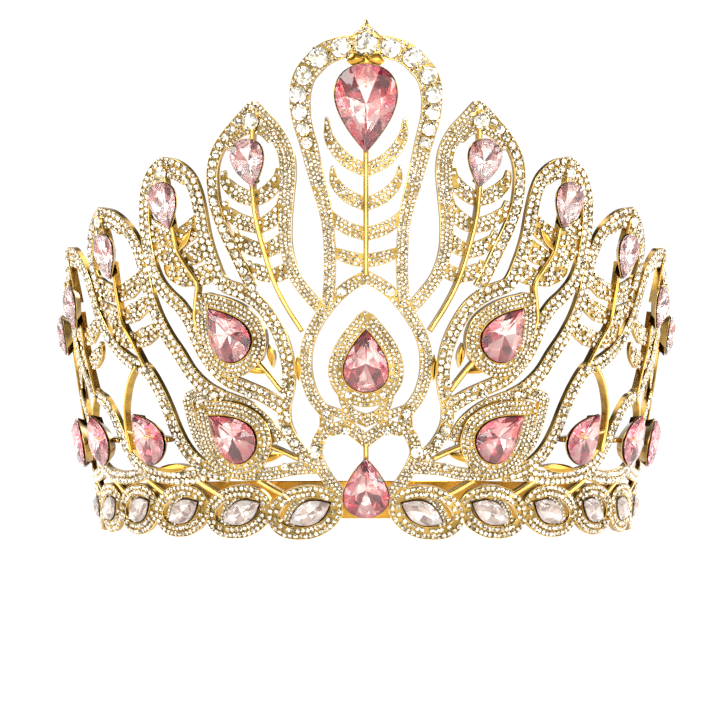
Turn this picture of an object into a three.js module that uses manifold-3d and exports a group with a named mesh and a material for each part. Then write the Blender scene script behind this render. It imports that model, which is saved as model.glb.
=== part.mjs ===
// A crystal crown: a cast and soldered gilt frame of peacock feathers, set with pear and marquise stones.
// Millimetres, +Z up. The crown's axis is Z, its front faces -Y and it rests on z = 0.
import * as THREE from 'three';
import { mergeVertices } from 'three/addons/utils/BufferGeometryUtils.js';
import { ConvexGeometry } from 'three/addons/geometries/ConvexGeometry.js';
import Module from 'manifold-3d';

const wasm = await Module();
wasm.setup();

// Driving dimensions
const CROWN_HEIGHT = 120.7;
const BASE_RADIUS = 73.5; // front face of the wall at the rim
const WALL_FLARE = 0.16; // how far the wall leans out for each millimetre of height
const METAL_THICKNESS = 2.0; // the cast ribbons, front to back
const RIBBON = 3.0; // width of a ribbon with two rows of small stones
const RIBBON_SLIM = 2.0; // one row of stones
const RIBBON_BROAD = 4.0; // three rows, at the top of the first side feathers
const CENTRE_RIBBON_TOP = 5.2; // the centre feather's ribbon round its eye
const CENTRE_RIBBON_FOOT = 2.8;
const BARB_ROOT = 3.2; // width of a barb where it leaves its spine
const BARB_TIP = 1.0;
const BARB_REACH = 10.0; // the longest barb
const WIRE = 1.4; // width of the plain spines, ribs and posts
const WIRE_PROUD = 0.6; // how far a wire stands in front of the ribbons
const HALO = 2.7; // width of the ribbon round a large pear
const HALO_PROUD = 0.8;
const TIP_CUP = 4.4; // round seat of the stone at each side feather's tip
const TIP_CUP_PROUD = 0.6;
const CROWN_POINT_WIDTH = 8.0; // the point on top of the centre feather
const CROWN_POINT_RISE = 4.5;
const RING_HEIGHT = 12.8; // the garland's rings, measured square to their long axis
const RING_OVERLAP = 1.9; // how far each ring lies over the next
const STRAP_WIDTH = 1.5; // the plain straps between the rings
const BAND_HEIGHT = 12.3; // the plain band round the back of the head
const BAND_WALL = 1.2;
const BAND_SET_BACK = 0.3; // how far the band's outside lies behind the front of the wall
const BEZEL = 0.8; // wall of a stone's cup
const BEZEL_FLOOR = 0.7;
const STONE_CLEARANCE = 0.3;
const SECTION_SPACING = 4.8; // between the sections along a curve
const SMALLEST_DETAIL = 0.15; // anything smaller is merged away

// Stones: crown is the height of the cut above the girdle, pavilion its depth below it,
// and proud is how far the girdle stands in front of the wall.
const CENTRE_EYE = { width: 13.8, height: 19.6, crown: 2.2, pavilion: 4.4, proud: 2.4 };
const FEATHER_EYE = { width: 7.8, height: 10.8, crown: 1.4, pavilion: 2.6, proud: 2.4 };
const HALO_PEAR = { width: 10.2, height: 14.2, crown: 1.8, pavilion: 3.2, proud: 1.2 };
const DROP_PEAR = { width: 10.2, height: 13.6, crown: 1.8, pavilion: 3.2, proud: 2.4 };
const MARQUISE = { width: 5.4, height: 10.8, crown: 1.1, pavilion: 1.9, proud: 0.6 };

// The garland's rings and marquises, in degrees
const RING_COUNT = 6; // on each half
const RING_PITCH = 13.3;
const FIRST_RING = 11.4;
const RING_TILT = 13; // the inner end is the higher one
const MARQUISE_SHIFT = -1.1; // from the middle of its ring
const MARQUISE_LEAN = -65;

const GOLD = new THREE.MeshStandardMaterial({ color: 0xd9a441, metalness: 1, roughness: 0.25 });
const PINK = new THREE.MeshStandardMaterial({ color: 0xf08fa0, metalness: 0, roughness: 0.05 });
const PALE = new THREE.MeshStandardMaterial({ color: 0xf6e3e4, metalness: 0, roughness: 0.05 });

const ORIGIN = new THREE.Vector2(0, 0);
const WALL_RUN = Math.hypot(1, WALL_FLARE); // length along the leaning wall for each millimetre of height
const radians = THREE.MathUtils.degToRad;
const wallRadius = (height) => BASE_RADIUS + WALL_FLARE * height;

// The wall is drawn flat and bent afterwards: x is measured round the rim, y is the height
// and z the distance in front of the wall. Places are given as [azimuth in degrees, height as
// a percentage of the crown's height], and side +1 or -1 says which half of the crown.
function flatPoint([azimuth, percent], side = 1) {
  return new THREE.Vector3(side * radians(azimuth) * BASE_RADIUS, (percent / 100) * CROWN_HEIGHT, 0);
}

// How much wider a flat length becomes at this height once the wall is bent.
const stretch = (height) => wallRadius(height) / BASE_RADIUS;

function toSolid(geometry) {
  const bare = geometry.clone();
  bare.deleteAttribute('normal');
  bare.deleteAttribute('uv');
  const merged = mergeVertices(bare, 1e-5);
  const mesh = new wasm.Mesh({
    numProp: 3,
    vertProperties: new Float32Array(merged.attributes.position.array),
    triVerts: new Uint32Array(merged.index.array),
  });
  return new wasm.Manifold(mesh);
}

function toGeometry(solid) {
  const { vertProperties, triVerts } = solid.getMesh();
  const geometry = new THREE.BufferGeometry();
  geometry.setAttribute('position', new THREE.BufferAttribute(new Float32Array(vertProperties), 3));
  geometry.setIndex(new THREE.BufferAttribute(new Uint32Array(triVerts), 1));
  geometry.computeVertexNormals();
  return geometry;
}

function plate(outline, back = -METAL_THICKNESS, front = 0, hole = null) {
  const shape = new THREE.Shape(outline);
  if (hole) shape.holes.push(new THREE.Path(hole));
  const geometry = new THREE.ExtrudeGeometry(shape, { depth: front - back, bevelEnabled: false, steps: 1 });
  geometry.translate(0, 0, back);
  return toSolid(geometry);
}

// The two edges of a ribbon along a curve, square to it on the bent wall.
function ribbonEdges(curve, widthAt, closed) {
  const count = Math.max(2, Math.round(curve.getLength() / SECTION_SPACING));
  const left = [];
  const right = [];
  const last = closed ? count - 1 : count;
  for (let i = 0; i <= last; i += 1) {
    const share = i / count;
    const point = curve.getPointAt(share);
    const tangent = curve.getTangentAt(share);
    const wide = stretch(point.y);
    const run = Math.hypot(tangent.x * wide, tangent.y);
    const half = widthAt(share) / 2;
    const across = new THREE.Vector2((-tangent.y / run) * (half / wide), ((tangent.x * wide) / run) * half);
    left.push(new THREE.Vector2(point.x + across.x, point.y + across.y));
    right.push(new THREE.Vector2(point.x - across.x, point.y - across.y));
  }
  return { left, right };
}

// The width at a share of a ribbon's length, from widths that are evenly spread along it
function widthAlong(widths, share) {
  const place = share * (widths.length - 1);
  const before = Math.min(Math.floor(place), widths.length - 2);
  return THREE.MathUtils.lerp(widths[before], widths[before + 1], place - before);
}

function strip(points, widths, front = 0) {
  const curve = new THREE.CatmullRomCurve3(points, false, 'centripetal');
  const { left, right } = ribbonEdges(curve, (share) => widthAlong(widths, share), false);
  return plate([...left, ...right.reverse()], -METAL_THICKNESS, front);
}

// A ribbon through a few places. Its width is one size, or a list of sizes along it.
function ribbon(places, side, width, front = 0) {
  const points = places.map((place) => flatPoint(place, side));
  return strip(points, Array.isArray(width) ? width : [width, width], front);
}

function ring(points, width) {
  const curve = new THREE.CatmullRomCurve3(points, true, 'centripetal');
  const { left, right } = ribbonEdges(curve, () => width, true);
  return plate(right, -METAL_THICKNESS, 0, left);
}

const both = (make) => [make(1), make(-1)];

// Tips of the side feathers
const TIPS = [[17.3, 84.2], [34.2, 75], [51.4, 67.2], [67.8, 61], [84, 55.5]];
const [FIRST_TIP, SECOND_TIP, THIRD_TIP, FOURTH_TIP, FIFTH_TIP] = TIPS;

// The pavé ribbons of one half, from the centre outwards: [width or widths, places from top to foot]
const RIBBONS = [
  // centre feather
  [
    [CENTRE_RIBBON_TOP, CENTRE_RIBBON_TOP, RIBBON_BROAD, CENTRE_RIBBON_FOOT, CENTRE_RIBBON_FOOT],
    [
      [-0.6, 95.1], [3.4, 94.8], [5.9, 93.7], [7.6, 91.9], [9.1, 89.6], [9.8, 86.6], [9.8, 82.5], [9.3, 79.5],
      [8.8, 77], [8.1, 73], [7.3, 68.8], [6.5, 65], [6.0, 61], [5.8, 56], [5.9, 51], [6.4, 46],
    ],
  ],
  // ring round the centre pear, the lobes under it and their feet beside the drop
  [RIBBON, [[-0.8, 51.9], [3, 49.4], [5.9, 46.1], [8.7, 41.4], [10, 37.5], [10.2, 32.7], [9.2, 28.5], [7, 25]]],
  [RIBBON, [[7, 25], [6.2, 21.8], [3.7, 22.4], [1.6, 21], [-0.6, 19]]],
  [RIBBON, [[7, 25], [7.2, 22], [8.5, 19.3], [8.9, 16.8], [8.1, 14.3], [6.5, 11.5], [4.6, 9]]],
  [WIRE, [[7.4, 26], [4.8, 25], [2.4, 24], [-0.6, 23.8]]],
  [RIBBON_SLIM, [[4.4, 31.5], [3.9, 28], [2.6, 25], [-0.4, 23.4]]],
  // first side feather
  [
    RIBBON,
    [
      FIRST_TIP, [19.6, 81.7], [21.9, 79], [23.7, 76.2], [24.7, 73], [24.9, 69], [24.6, 65.5],
      [23.4, 61], [21.7, 56.5], [20.4, 53], [19.0, 49.6],
    ],
  ],
  [
    [RIBBON_BROAD, RIBBON_BROAD, RIBBON, RIBBON],
    [
      FIRST_TIP, [15.5, 81.6], [13.6, 78.8], [12.4, 75.6], [12.1, 72], [12.5, 67], [12.9, 61.5], [12.7, 56],
      [11.5, 51.5], [9.6, 48.3], [7.6, 45.5],
    ],
  ],
  // second side feather, whose ribbons run on round the upper oval
  [
    RIBBON,
    [
      SECOND_TIP, [36.5, 73.2], [38.2, 70], [39.1, 66], [39.3, 60.5], [38.7, 55], [37.5, 51.6],
      [35.4, 48.8], [33.4, 46.8], [31.4, 43.4], [30.3, 39.8], [28.2, 35.6], [25, 32], [21.5, 30.2],
      [18, 28.5], [14.4, 26],
    ],
  ],
  [
    RIBBON,
    [
      SECOND_TIP, [31.3, 74], [29.2, 71.8], [28.2, 69], [27.6, 65], [27.1, 60], [26, 55], [24.3, 50.6],
      [21.2, 49], [18, 46.6], [15.6, 42.8], [14, 38.4], [13.3, 33.5], [13.6, 29.5], [14.4, 26],
      [14.2, 22.5], [12.6, 19], [10.6, 16.6], [8.6, 15],
    ],
  ],
  // third side feather, which runs on over the lower oval
  [RIBBON, [THIRD_TIP, [54, 64.8], [55.8, 62], [56.4, 59], [56.1, 55.5], [55.2, 52]]],
  [
    RIBBON,
    [
      THIRD_TIP, [47.4, 66], [44.6, 63.8], [42.5, 60.8], [41.3, 57], [40.6, 53], [40.1, 49.5], [38.8, 45],
      [36.8, 40.8], [34.4, 37], [32.2, 33.2], [29, 30], [26.2, 28.4],
    ],
  ],
  [RIBBON, [[33.6, 28.2], [30.6, 29.2], [27.4, 28.8], [24.3, 27.8], [20.6, 26], [17.6, 23.2], [15.6, 19.6]]],
  [RIBBON, [[33.6, 28.2], [33.2, 25.4], [32.6, 22.4], [31.4, 19.2], [29.4, 16.4], [27, 14]]],
  [RIBBON, [[30.5, 15.6], [27, 13.8], [22.5, 13], [17.6, 13.1], [13.5, 14], [8.4, 14.4]]],
  // fourth side feather, which runs on round the first side drop
  [RIBBON, [FOURTH_TIP, [70, 59.2], [72, 56.4], [73, 52.8], [73, 49], [72.2, 45]]],
  [
    RIBBON,
    [
      FOURTH_TIP, [63.7, 60.2], [60.9, 57.6], [59, 54], [57.7, 50], [56.4, 46], [53.6, 41.6],
      [50.4, 38.2], [46.6, 35.8], [43.2, 34.4], [40.6, 30.6], [38.6, 26], [37.2, 22], [35.4, 18.4],
      [33, 15.6], [29.6, 13.6], [26, 12.8],
    ],
  ],
  // fifth side feather and the arches over the other drops
  [RIBBON, [FIFTH_TIP, [86.2, 54], [88.2, 51], [89.2, 47], [89.4, 40], [89, 31], [88.2, 22], [87, 12]]],
  [
    RIBBON,
    [
      FIFTH_TIP, [80, 54.4], [77.4, 51.6], [75.6, 48], [74.2, 44], [72.4, 39.6], [69.4, 35.2], [65.6, 31.6],
      [62, 29.4], [58.6, 28], [56, 25], [54, 21.5], [52.2, 18.2], [49.6, 15.4], [46.4, 13.4], [41.4, 12.4],
      [35.4, 12.2], [31, 13],
    ],
  ],
  [
    RIBBON,
    [
      [82.6, 31.6], [79, 29.4], [75.6, 28], [73, 25], [71, 21.5], [69.2, 18.2], [66.6, 15.4], [62, 13],
      [57.4, 12.2], [52.4, 12.2], [47, 13.2],
    ],
  ],
  [RIBBON, [[87.4, 16], [83.6, 14], [79, 12.6], [74, 12.2], [69, 12.8], [64, 14]]],
];

// Plain wires: spines, ribs, stems, posts and the ties of the cups
const WIRES = [
  [[0, 75], [0, 68], [0, 60], [0, 51.5]],
  [[18, 68.5], [17.7, 63.7], [16.8, 57.9], [15, 50.5], [13.3, 46.2], [10.6, 41]],
  [[33.4, 62.3], [32.6, 58], [31.1, 54.7], [29.2, 51], [29.7, 47.5], [30.2, 43.4], [29, 40.4], [26.6, 36.4]],
  [[48.8, 55.5], [48.7, 50], [48, 44], [45.8, 40.2], [43, 35]],
  [[65.3, 46.5], [65.2, 40], [64, 35], [62.6, 30]],
  [[81.8, 42], [81.6, 36], [80.8, 30]],
  [[45.4, 35.4], [48.1, 32.5], [49.8, 29.4], [51, 26], [51.2, 22], [50.6, 17.4]],
  [[62.6, 29.6], [65.4, 27], [67, 23.6], [67.6, 20], [67.2, 16]],
  [[79.4, 29.6], [82.2, 27], [83.8, 23.6], [84.4, 20], [84, 15]],
  [[0, 19.4], [0, 16]],
  [[19.9, 36.8], [17, 33], [14.6, 29.4]],
  [[18.2, 19], [15, 17.6], [11.9, 16]],
  [[27.3, 29], [27.3, 26]],
  [[0, 91], [0, 94.4]],
  [[17.8, 76.5], [17.2, 83]],
  [[33.5, 69.5], [33.8, 74]],
  [[49, 61.5], [50.4, 66.2]],
  [[65.6, 52.5], [67.2, 60]],
  [[82.2, 47.5], [83.6, 54.4]],
  [[38.6, 20], [51, 22]],
  [[54.6, 20], [67.4, 21]],
  [[71.4, 20], [84.2, 21]],
];

// Barbs: [feather, place on its spine, reach outwards, rise], reach and rise as shares of BARB_REACH
const BARBS = [
  [0, [0, 71.6], 0.9, 1.2],
  [0, [0, 65.2], 0.78, 0.86],
  [0, [0, 59.5], 0.88, 0.72],
  [0, [0, 54.4], 0.84, 0.42],
  [1, [17.9, 66.6], 0.6, 0.7],
  [1, [17.4, 61.4], 0.84, 0.62],
  [1, [16.6, 56.6], 0.66, 0.5],
  [1, [15.3, 51.8], 0.56, 0.38],
  [2, [33.0, 60.0], 0.86, 0.6],
  [2, [31.7, 55.8], 0.76, 0.46],
  [2, [29.6, 52.0], 0.8, 0.28],
  [3, [48.8, 50.0], 0.95, 0.6],
  [3, [48.2, 45.4], 1.0, 0.5],
  [3, [45.8, 40.4], 0.8, 0.4],
  [4, [65.3, 42.0], 0.95, 0.6],
  [4, [64.4, 36.8], 0.95, 0.5],
  [5, [81.8, 38.4], 0.95, 0.5],
  [5, [81.2, 33.4], 0.95, 0.5],
];

// Stones: [name, size, place, lean of the point outwards from upright in degrees]
const CENTRE_STONES = [
  ['centre_eye', CENTRE_EYE, [0, 83.4], 180],
  ['centre_pear', HALO_PEAR, [0, 35.2], 0],
  ['bottom_drop', DROP_PEAR, [0, 10.6], 0],
];
const SIDE_STONES = [
  ['feather_eye_1', FEATHER_EYE, [17.9, 73.6], 190],
  ['feather_eye_2', FEATHER_EYE, [33.4, 66.7], 190],
  ['feather_eye_3', FEATHER_EYE, [48.8, 58.2], 190],
  ['feather_eye_4', FEATHER_EYE, [65.3, 49.2], 190],
  ['feather_eye_5', FEATHER_EYE, [81.8, 44.6], 190],
  ['upper_oval', HALO_PEAR, [24.0, 41.0], 35],
  ['lower_oval', HALO_PEAR, [24.6, 20.8], 49],
  ['side_drop_1', DROP_PEAR, [43.2, 20.8], 36],
  ['side_drop_2', DROP_PEAR, [60.6, 20.6], 30],
  ['side_drop_3', DROP_PEAR, [77.6, 20.2], 26],
];

// Cut of every stone, as shares of its outline or of its crown
const TABLE_SHARE = 0.56;
const STAR_SHARE = 0.83; // the corners between the table and the girdle
const STAR_HEIGHT_SHARE = 0.56;
const CULET_SHARE = 0.04; // how far the point underneath lies towards the round end
const PEAR_SIDES = 16;
const MARQUISE_SIDES = 12;
const RING_SIDES = 12;
const CUP_SIDES = 8;

// Outlines with the point, or one of two points, towards +y
function pearOutline({ width, height }, count = PEAR_SIDES) {
  const fullest = 0.7698; // the largest value of sin(t) * sin(t / 2)
  return Array.from({ length: count }, (_, i) => {
    const turn = (i / count) * Math.PI * 2;
    const x = Math.sin(turn) * Math.sin(turn / 2) * (width / 2 / fullest);
    return new THREE.Vector2(-x, Math.cos(turn) * (height / 2));
  });
}

function marquiseOutline({ width, height }, count = MARQUISE_SIDES) {
  return Array.from({ length: count }, (_, i) => {
    const turn = (i / count) * Math.PI * 2;
    const bulge = Math.sin(turn) * Math.abs(Math.sin(turn));
    return new THREE.Vector2(-bulge * (width / 2), Math.cos(turn) * (height / 2));
  });
}

const outlineOf = (size) => (size === MARQUISE ? marquiseOutline(size) : pearOutline(size));

// An outline moved outwards by a distance, with its corners mitred.
function grow(outline, distance) {
  return outline.map((point, i) => {
    const before = outline[(i + outline.length - 1) % outline.length];
    const after = outline[(i + 1) % outline.length];
    const normalIn = new THREE.Vector2(point.y - before.y, before.x - point.x).normalize();
    const normalOut = new THREE.Vector2(after.y - point.y, point.x - after.x).normalize();
    const mitre = normalIn.clone().add(normalOut).normalize();
    return point.clone().addScaledVector(mitre, distance / Math.max(0.4, mitre.dot(normalIn)));
  });
}

// The frame of a stone: x across it, y towards its point and z out of the wall.
function seat({ place: [azimuth, percent], lean, side, size }) {
  const height = (percent / 100) * CROWN_HEIGHT;
  const turn = radians(azimuth) * side;
  const away = new THREE.Vector3(Math.sin(turn), -Math.cos(turn), 0);
  const across = new THREE.Vector3(Math.cos(turn), Math.sin(turn), 0);
  const up = new THREE.Vector3(0, 0, 1).addScaledVector(away, WALL_FLARE).normalize();
  const out = new THREE.Vector3().crossVectors(across, up);
  const origin = away.clone().multiplyScalar(wallRadius(height)).setZ(height);
  origin.addScaledVector(out, size.proud);
  const matrix = new THREE.Matrix4().makeBasis(across, up, out).setPosition(origin);
  return matrix.multiply(new THREE.Matrix4().makeRotationZ(-radians(lean) * side));
}

// A stone's outline drawn on the flat wall, in the same place as its seat.
function flatOutline(outline, { place, lean, side }) {
  const centre = flatPoint(place, side);
  const turn = new THREE.Vector2();
  return outline.map((point) => {
    turn.copy(point).rotateAround(ORIGIN, -radians(lean) * side);
    return new THREE.Vector2(centre.x + turn.x / stretch(centre.y), centre.y + turn.y / WALL_RUN);
  });
}

// A cut stone: a table, two rows of crown facets, a girdle and a pavilion that ends in a point.
function cutStone(size) {
  const girdle = outlineOf(size);
  const points = girdle.map((p) => new THREE.Vector3(p.x, p.y, 0));
  girdle.forEach((p, i) => {
    const share = i % 2 === 0 ? TABLE_SHARE : STAR_SHARE;
    const rise = i % 2 === 0 ? 1 : STAR_HEIGHT_SHARE;
    points.push(new THREE.Vector3(p.x * share, p.y * share, size.crown * rise));
  });
  points.push(new THREE.Vector3(0, -size.height * CULET_SHARE, -size.pavilion));
  return new ConvexGeometry(points);
}

// Height of the middle of the garland's rings, whose lowest edges are the rim
function ringMiddle() {
  const tilt = radians(RING_TILT);
  return Math.hypot((ringLength() / 2) * Math.sin(tilt), (RING_HEIGHT / 2) * Math.cos(tilt));
}

const ringLength = () => radians(RING_PITCH) * BASE_RADIUS + RING_OVERLAP;
const ringAzimuth = (index) => FIRST_RING + RING_PITCH * index;

function stoneList() {
  const list = CENTRE_STONES.map(([name, size, place, lean]) => ({ name, size, place, lean, side: 1 }));
  for (const side of [1, -1]) {
    const suffix = side > 0 ? 'right' : 'left';
    for (const [name, size, place, lean] of SIDE_STONES) {
      list.push({ name: `${name}_${suffix}`, size, place, lean, side });
    }
    for (let i = 0; i < RING_COUNT; i += 1) {
      const place = [ringAzimuth(i) + MARQUISE_SHIFT, (ringMiddle() / CROWN_HEIGHT) * 100];
      list.push({ name: `marquise_${i + 1}_${suffix}`, size: MARQUISE, place, lean: MARQUISE_LEAN, side });
    }
  }
  return list;
}

// One barb: a short tapering ribbon that curls up from its spine.
function barb([, place, reach, rise], side, outwards) {
  const root = flatPoint(place, side);
  const along = (out, up) => {
    const x = (out * outwards * BARB_REACH) / stretch(root.y);
    return root.clone().add(new THREE.Vector3(x, up * BARB_REACH, 0));
  };
  const bow = along(reach * 0.5, rise * 0.25);
  const shoulder = along(reach * 0.92, rise * 0.62);
  return strip([root, bow, shoulder, along(reach, rise)], [BARB_ROOT, BARB_TIP]);
}

// One ring of the garland, a tilted oval
function garlandRing(azimuth, side) {
  const middle = flatPoint([azimuth, 0], side);
  const points = Array.from({ length: RING_SIDES }, (_, i) => {
    const turn = (i / RING_SIDES) * Math.PI * 2;
    const point = new THREE.Vector2(
      Math.cos(turn) * ((ringLength() - RIBBON) / 2),
      Math.sin(turn) * ((RING_HEIGHT - RIBBON) / 2),
    );
    point.rotateAround(ORIGIN, -radians(RING_TILT) * side);
    return new THREE.Vector3(middle.x + point.x, Math.max(ringMiddle() + point.y, RIBBON / 2), 0);
  });
  return ring(points, RIBBON);
}

// The plain strap that slants down to a ring from the ribbon over the garland
function garlandStrap(azimuth, side) {
  const percent = (share) => ((share * RING_HEIGHT) / CROWN_HEIGHT) * 100;
  const places = [
    [azimuth + RING_PITCH * 0.66, percent(1.12)],
    [azimuth + RING_PITCH * 0.44, percent(0.95)],
    [azimuth + RING_PITCH * 0.2, percent(0.78)],
  ];
  return ribbon(places, side, STRAP_WIDTH);
}

// The round seat of the stone at a feather's tip, just under the tip
function tipCup(place, side) {
  const middle = flatPoint(place, side);
  const outline = Array.from({ length: CUP_SIDES }, (_, i) => {
    const turn = (i / CUP_SIDES) * Math.PI * 2;
    const x = middle.x + (Math.cos(turn) * (TIP_CUP / 2)) / stretch(middle.y);
    return new THREE.Vector2(x, middle.y - RIBBON / 4 + Math.sin(turn) * (TIP_CUP / 2));
  });
  return plate(outline, -METAL_THICKNESS, TIP_CUP_PROUD);
}

// The point on top of the centre feather
function crownPoint() {
  const half = CROWN_POINT_WIDTH / 2 / stretch(CROWN_HEIGHT);
  return plate([
    new THREE.Vector2(-half, CROWN_HEIGHT - CROWN_POINT_RISE),
    new THREE.Vector2(half, CROWN_HEIGHT - CROWN_POINT_RISE),
    new THREE.Vector2(BARB_TIP / 4, CROWN_HEIGHT),
    new THREE.Vector2(-BARB_TIP / 4, CROWN_HEIGHT),
  ]);
}

function flatFrame(stones) {
  const parts = [crownPoint()];
  const pockets = [];
  for (const [width, places] of RIBBONS) parts.push(...both((side) => ribbon(places, side, width)));
  for (const places of WIRES) parts.push(...both((side) => ribbon(places, side, WIRE, WIRE_PROUD)));
  for (const row of BARBS) {
    const sides = row[0] === 0 ? [1] : [1, -1];
    for (const side of sides) parts.push(...both((outwards) => barb(row, side, outwards)));
  }
  for (const tip of TIPS) parts.push(...both((side) => tipCup(tip, side)));
  for (let i = 0; i < RING_COUNT; i += 1) {
    parts.push(...both((side) => garlandRing(ringAzimuth(i), side)));
    parts.push(...both((side) => garlandStrap(ringAzimuth(i), side)));
  }
  for (const stone of stones) {
    const { size } = stone;
    const drawn = (distance) => flatOutline(grow(outlineOf(size), distance), stone);
    const floor = size.proud - size.pavilion - STONE_CLEARANCE;
    const back = Math.min(floor - BEZEL_FLOOR, -METAL_THICKNESS);
    parts.push(plate(drawn(STONE_CLEARANCE + BEZEL), back, size.proud));
    pockets.push(plate(drawn(STONE_CLEARANCE), floor, size.proud + size.crown));
    if (size === HALO_PEAR) {
      parts.push(plate(drawn(STONE_CLEARANCE + BEZEL + HALO), -METAL_THICKNESS, HALO_PROUD));
    }
  }
  const metal = wasm.Manifold.union(parts).asOriginal().simplify(SMALLEST_DETAIL);
  return metal.subtract(wasm.Manifold.union(pockets)).asOriginal().simplify(SMALLEST_DETAIL);
}

// Bends the flat frame on to the leaning wall.
function bend(geometry) {
  const position = geometry.attributes.position;
  for (let i = 0; i < position.count; i += 1) {
    const height = position.getY(i);
    const turn = position.getX(i) / BASE_RADIUS;
    const radius = wallRadius(height) + position.getZ(i) / WALL_RUN;
    const lifted = height - (position.getZ(i) * WALL_FLARE) / WALL_RUN;
    position.setXYZ(i, Math.sin(turn) * radius, -Math.cos(turn) * radius, lifted);
  }
  return geometry;
}

// The plain strip round the back, from the last ring on one side to the last on the other
function backBand() {
  const start = radians(90 - ringAzimuth(RING_COUNT - 1));
  const outer = BASE_RADIUS - BAND_SET_BACK;
  const shape = new THREE.Shape();
  shape.absarc(0, 0, outer, -start, Math.PI + start, false);
  shape.absarc(0, 0, outer - BAND_WALL, Math.PI + start, -start, true);
  const geometry = new THREE.ExtrudeGeometry(shape, {
    depth: BAND_HEIGHT,
    bevelEnabled: false,
    steps: 1,
    curveSegments: 48,
  });
  return toSolid(geometry);
}

function goldFrame(stones) {
  const front = toSolid(bend(toGeometry(flatFrame(stones))));
  return toGeometry(front.add(backBand()).asOriginal().simplify(SMALLEST_DETAIL / 2));
}

function named(name, geometry, material) {
  const mesh = new THREE.Mesh(geometry, material);
  mesh.name = name;
  return mesh;
}

// The wall and its stones, about the axis of the head
const assembly = new THREE.Group();
const stones = stoneList();
assembly.add(named('gold_frame', goldFrame(stones), GOLD));
for (const stone of stones) {
  const mesh = named(stone.name, cutStone(stone.size), stone.size === MARQUISE ? PALE : PINK);
  mesh.applyMatrix4(seat(stone));
  assembly.add(mesh);
}

// The crown's own origin is the middle of the floor under it.
const reach = new THREE.Box3().setFromObject(assembly, true);
const middle = reach.getCenter(new THREE.Vector3());
assembly.position.set(-middle.x, -middle.y, -reach.min.z);

const crown = new THREE.Group();
crown.add(assembly);

export default crown;
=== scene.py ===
import math
import random
from collections import namedtuple

import bmesh
import bpy
from mathutils import Matrix, Vector


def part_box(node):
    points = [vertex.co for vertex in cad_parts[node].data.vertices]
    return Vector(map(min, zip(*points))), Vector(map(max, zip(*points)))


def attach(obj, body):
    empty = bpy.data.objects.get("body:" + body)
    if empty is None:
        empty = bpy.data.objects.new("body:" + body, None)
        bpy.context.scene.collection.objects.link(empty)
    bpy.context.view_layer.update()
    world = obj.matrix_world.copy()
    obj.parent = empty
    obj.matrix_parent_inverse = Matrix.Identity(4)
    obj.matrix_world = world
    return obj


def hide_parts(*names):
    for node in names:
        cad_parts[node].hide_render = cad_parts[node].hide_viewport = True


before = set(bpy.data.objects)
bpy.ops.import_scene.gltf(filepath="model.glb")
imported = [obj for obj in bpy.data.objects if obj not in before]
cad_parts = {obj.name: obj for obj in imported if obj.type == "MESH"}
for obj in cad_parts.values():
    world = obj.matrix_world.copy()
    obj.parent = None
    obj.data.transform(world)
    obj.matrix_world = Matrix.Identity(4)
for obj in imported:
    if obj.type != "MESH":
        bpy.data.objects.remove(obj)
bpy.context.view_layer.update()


# The wall of the crown: cast ribbons of gilt alloy, three millimetres wide, soldered where they
# touch and bent round the head on a cone that opens upwards. Each has a raised lip along both
# edges and a sunk channel between them for the small stones. All sizes are in millimetres.
CROWN_HEIGHT = 120.7
RIM_RADIUS = 73.5
FLARE = 0.16
SLANT = math.hypot(1, FLARE)
THICKNESS = 1.3
BAND_SET_BACK = 0.3
RIBBON = 3.0
RIBBON_SLIM = 2.0
RIBBON_DOUBLE = 3.5
RIBBON_BROAD = 4.0
TOP_RIBBON = 5.2
TOP_RIBBON_FOOT = 2.8
# Copies of one gilt metal, in the order of the materials that every casting carries. The bright
# copy is the gold as it is lit; the dark, shaded and shadow copies are painted shade; amber, a
# deeper gold, is a painted half-tone on the wires' ridges.
BRIGHT, DARK, SHADED, AMBER, SHADOW = range(5)
# Steps over a ribbon's front from its edge to its middle: (inwards, outwards, finish and painted
# light). The lips take the bright copy of the gold, and the sunk channel the dark copy, as painted
# shade between the stones.
LIPPED = [(0.07, 0.09, BRIGHT), (0.07, 0.0, BRIGHT), (0.04, -0.3, DARK)]
RIBBON_STEP = 0.9
# Ribbons that cross lie at slightly different levels, so that neither hides in the other.
LEVELS = 6
LEVEL_STEP = 0.02
LOWEST_LEVEL = -0.05
SPLINE_STEPS = 12
SHARP_EDGE = math.radians(38)
AXIS_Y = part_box("gold_frame")[1][1] * 1000 - (RIM_RADIUS - BAND_SET_BACK)

FIRST_TIP, SECOND_TIP, THIRD_TIP = (17.3, 84.2), (34.2, 75), (51.4, 67.2)
FOURTH_TIP, FIFTH_TIP = (67.8, 61), (84, 55.5)

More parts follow.
